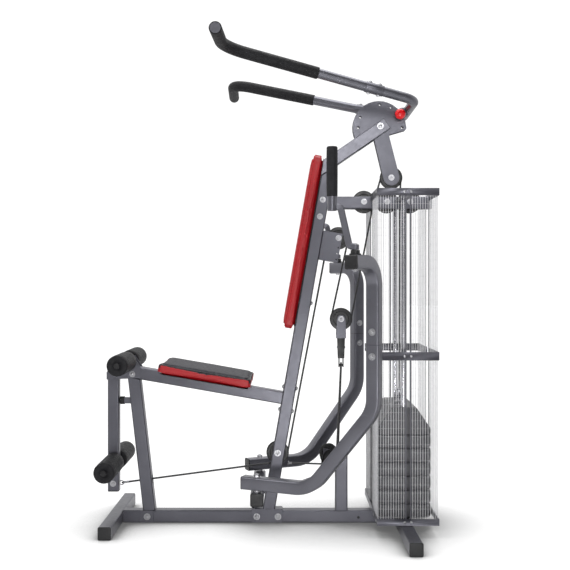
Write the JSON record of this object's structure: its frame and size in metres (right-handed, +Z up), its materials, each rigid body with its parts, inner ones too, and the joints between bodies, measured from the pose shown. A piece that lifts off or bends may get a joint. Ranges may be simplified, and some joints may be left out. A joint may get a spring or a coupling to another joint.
{
  "type": "multi station home gym",
  "caption": "Home gym with a seat, tilted backrest, leg developer, swinging press arms, a lat bar lever and a pin-selected weight stack in a mesh housing, all joined by cables.",
  "frame": {"origin": "on the floor under the middle of the whole machine", "axes": "+Z up; -X the way a seated user faces, with the weight stack at +X; +Y the far side, with the lat pull pin on the -Y side"},
  "size_m": [1.331, 1.1956, 1.8788],
  "materials": {
    "frame_paint": "metallic grey, semi-gloss",
    "chrome": "polished",
    "mesh_paint": "light grey",
    "weight": "dark grey shell",
    "upholstery": "padded synthetic leather",
    "foam": "matt foam",
    "pulley": "moulded black",
    "cable": "black plastic jacket",
    "knob": "gloss red"
  },
  "bodies": {
    "frame": {"front_foot": "frame_paint", "rear_foot": "frame_paint", "base_beam": "frame_paint", "front_post": "frame_paint", "seat_beam": "frame_paint", "main_upright": "frame_paint", "lat_boom": "frame_paint", "top_beam": "frame_paint", "pulley_bracket": "frame_paint", "bottom_rail_frame": "frame_paint", "middle_rail_frame": "frame_paint", "top_rail_frame": "frame_paint", "guide_rod_near": "chrome", "guide_rod_far": "chrome", "mesh_sheet_front_near": "mesh_paint", "mesh_sheet_front_far": "mesh_paint", "mesh_sheet_rear_near": "mesh_paint", "mesh_sheet_rear_far": "mesh_paint", "seat_pad": "upholstery", "backrest_pad": "upholstery", "thigh_axle": "chrome", "weight_plate_4": "weight", "weight_plate_5": "weight", "weight_plate_6": "weight", "main_cable": "cable", "arm_cable": "cable"},
    "stack_carriage": {"head_plate": "weight", "weight_plate_1": "weight", "weight_plate_2": "weight", "weight_plate_3": "weight", "lifting_stem": "chrome"},
    "selector": {"selector_pin": "chrome"},
    "lat_lever": {"lat_bar": "frame_paint", "lat_sector": "frame_paint", "lat_grip_near": "foam", "lat_grip_far": "foam"},
    "lat_pin": {"lat_pull_pin": "knob"},
    "leg_developer": {"leg_lever": "frame_paint", "ankle_axle": "chrome"},
    "ankle_foam_near": {"ankle_roller_near": "foam"},
    "ankle_foam_far": {"ankle_roller_far": "foam"},
    "thigh_foam_near": {"thigh_roller_near": "foam"},
    "thigh_foam_far": {"thigh_roller_far": "foam"},
    "arm_near": {"press_arm_near": "frame_paint"},
    "arm_far": {"press_arm_far": "frame_paint"},
    "handle_near": {"press_handle_near": "frame_paint", "press_grip_near": "foam"},
    "handle_far": {"press_handle_far": "frame_paint", "press_grip_far": "foam"},
    "fork": {"floating_fork": "frame_paint"},
    "wheel_top_front": {"top_pulley_front": "pulley"},
    "wheel_top_middle": {"top_pulley_middle": "pulley"},
    "wheel_top_rear": {"top_pulley_rear": "pulley"},
    "wheel_lever": {"lever_pulley": "pulley"},
    "wheel_bracket": {"bracket_pulley": "pulley"},
    "wheel_floating": {"floating_pulley": "pulley"},
    "wheel_foot": {"foot_pulley": "pulley"},
    "wheel_low_near": {"low_pulley_near": "pulley"},
    "wheel_low_far": {"low_pulley_far": "pulley"}
  },
  "joints": [
    {"name": "lat_lever_swing", "type": "hinge", "parent": "frame", "child": "lat_lever", "pos_m": [0.4565, 0, 1.612], "axis": [0, -1, 0], "range_deg": [0, 60], "deforming": ["main_cable"]},
    {"name": "stack_lift", "type": "slide", "parent": "frame", "child": "stack_carriage", "axis": [0, 0, 1], "range_m": [0, 0.42]},
    {"name": "selector_pin_slide", "type": "slide", "parent": "stack_carriage", "child": "selector", "axis": [1, 0, 0], "range_m": [0, 0.135]},
    {"name": "lat_pin_pull", "type": "slide", "parent": "lat_lever", "child": "lat_pin", "axis": [0, -1, 0], "range_m": [0, 0.016], "stiffness_N_per_m": 500},
    {"name": "leg_lever_swing", "type": "hinge", "parent": "frame", "child": "leg_developer", "pos_m": [-0.6255, 0, 0.596], "axis": [0, 1, 0], "range_deg": [0, 95]},
    {"name": "press_arm_near_swing", "type": "hinge", "parent": "frame", "child": "arm_near", "pos_m": [-0.0405, -0.2, 0.198], "axis": [0, 0, 1], "range_deg": [-95, 0], "deforming": ["arm_cable"]},
    {"name": "press_arm_far_swing", "type": "hinge", "parent": "frame", "child": "arm_far", "pos_m": [-0.0405, 0.2, 0.198], "axis": [0, 0, 1], "range_deg": [0, 95]},
    {"name": "floating_pulley_travel", "type": "slide", "parent": "frame", "child": "fork", "axis": [0, 0, 1], "range_m": [-0.1, 0]},
    {"name": "press_handle_near_swivel", "type": "hinge", "parent": "arm_near", "child": "handle_near", "pos_m": [0.31478, -0.53577, 1.09], "axis": [0, 0, 1], "range_deg": [-40, 40]},
    {"name": "thigh_roller_near_spin", "type": "hinge", "parent": "frame", "child": "thigh_foam_near", "pos_m": [-0.574, 0, 0.656], "axis": [0, 1, 0], "continuous": true},
    {"name": "ankle_roller_near_spin", "type": "hinge", "parent": "leg_developer", "child": "ankle_foam_near", "pos_m": [-0.6245, 0, 0.246], "axis": [0, 1, 0], "continuous": true},
    {"name": "press_handle_far_swivel", "type": "hinge", "parent": "arm_far", "child": "handle_far", "pos_m": [0.31478, 0.53577, 1.09], "axis": [0, 0, 1], "range_deg": [-40, 40]},
    {"name": "thigh_roller_far_spin", "type": "hinge", "parent": "frame", "child": "thigh_foam_far", "pos_m": [-0.574, 0, 0.656], "axis": [0, 1, 0], "continuous": true},
    {"name": "ankle_roller_far_spin", "type": "hinge", "parent": "leg_developer", "child": "ankle_foam_far", "pos_m": [-0.6245, 0, 0.246], "axis": [0, 1, 0], "continuous": true},
    {"name": "top_pulley_front_spin", "type": "hinge", "parent": "frame", "child": "wheel_top_front", "pos_m": [0.39, 0, 1.305], "axis": [0, 1, 0], "continuous": true},
    {"name": "top_pulley_middle_spin", "type": "hinge", "parent": "frame", "child": "wheel_top_middle", "pos_m": [0.484, 0, 1.305], "axis": [0, 1, 0], "continuous": true},
    {"name": "top_pulley_rear_spin", "type": "hinge", "parent": "frame", "child": "wheel_top_rear", "pos_m": [0.5775, 0, 1.305], "axis": [0, 1, 0], "continuous": true},
    {"name": "lever_pulley_spin", "type": "hinge", "parent": "lat_lever", "child": "wheel_lever", "pos_m": [0.502, 0, 1.4036], "axis": [0, 1, 0], "continuous": true},
    {"name": "bracket_pulley_spin", "type": "hinge", "parent": "frame", "child": "wheel_bracket", "pos_m": [0.2865, 0, 1.157], "axis": [0, 1, 0], "continuous": true},
    {"name": "floating_pulley_spin", "type": "hinge", "parent": "fork", "child": "wheel_floating", "pos_m": [0.2975, 0, 0.827], "axis": [0, 1, 0], "continuous": true},
    {"name": "foot_pulley_spin", "type": "hinge", "parent": "frame", "child": "wheel_foot", "pos_m": [0.0385, 0, 0.283], "axis": [0, 1, 0], "continuous": true},
    {"name": "low_pulley_near_spin", "type": "hinge", "parent": "frame", "child": "wheel_low_near", "pos_m": [0.2516, -0.0725, 0.26], "axis": [0.6695, -0.7428, 0], "continuous": true},
    {"name": "low_pulley_far_spin", "type": "hinge", "parent": "frame", "child": "wheel_low_far", "pos_m": [0.2516, 0.0725, 0.26], "axis": [0.6695, 0.7428, 0], "continuous": true}
  ],
  "couplings": [
    {"joint": "stack_lift", "follows": "lat_lever_swing", "m_per_rad": 0.382},
    {"joint": "floating_pulley_travel", "follows": "press_arm_near_swing", "m_per_rad": 0.0603}
  ]
}
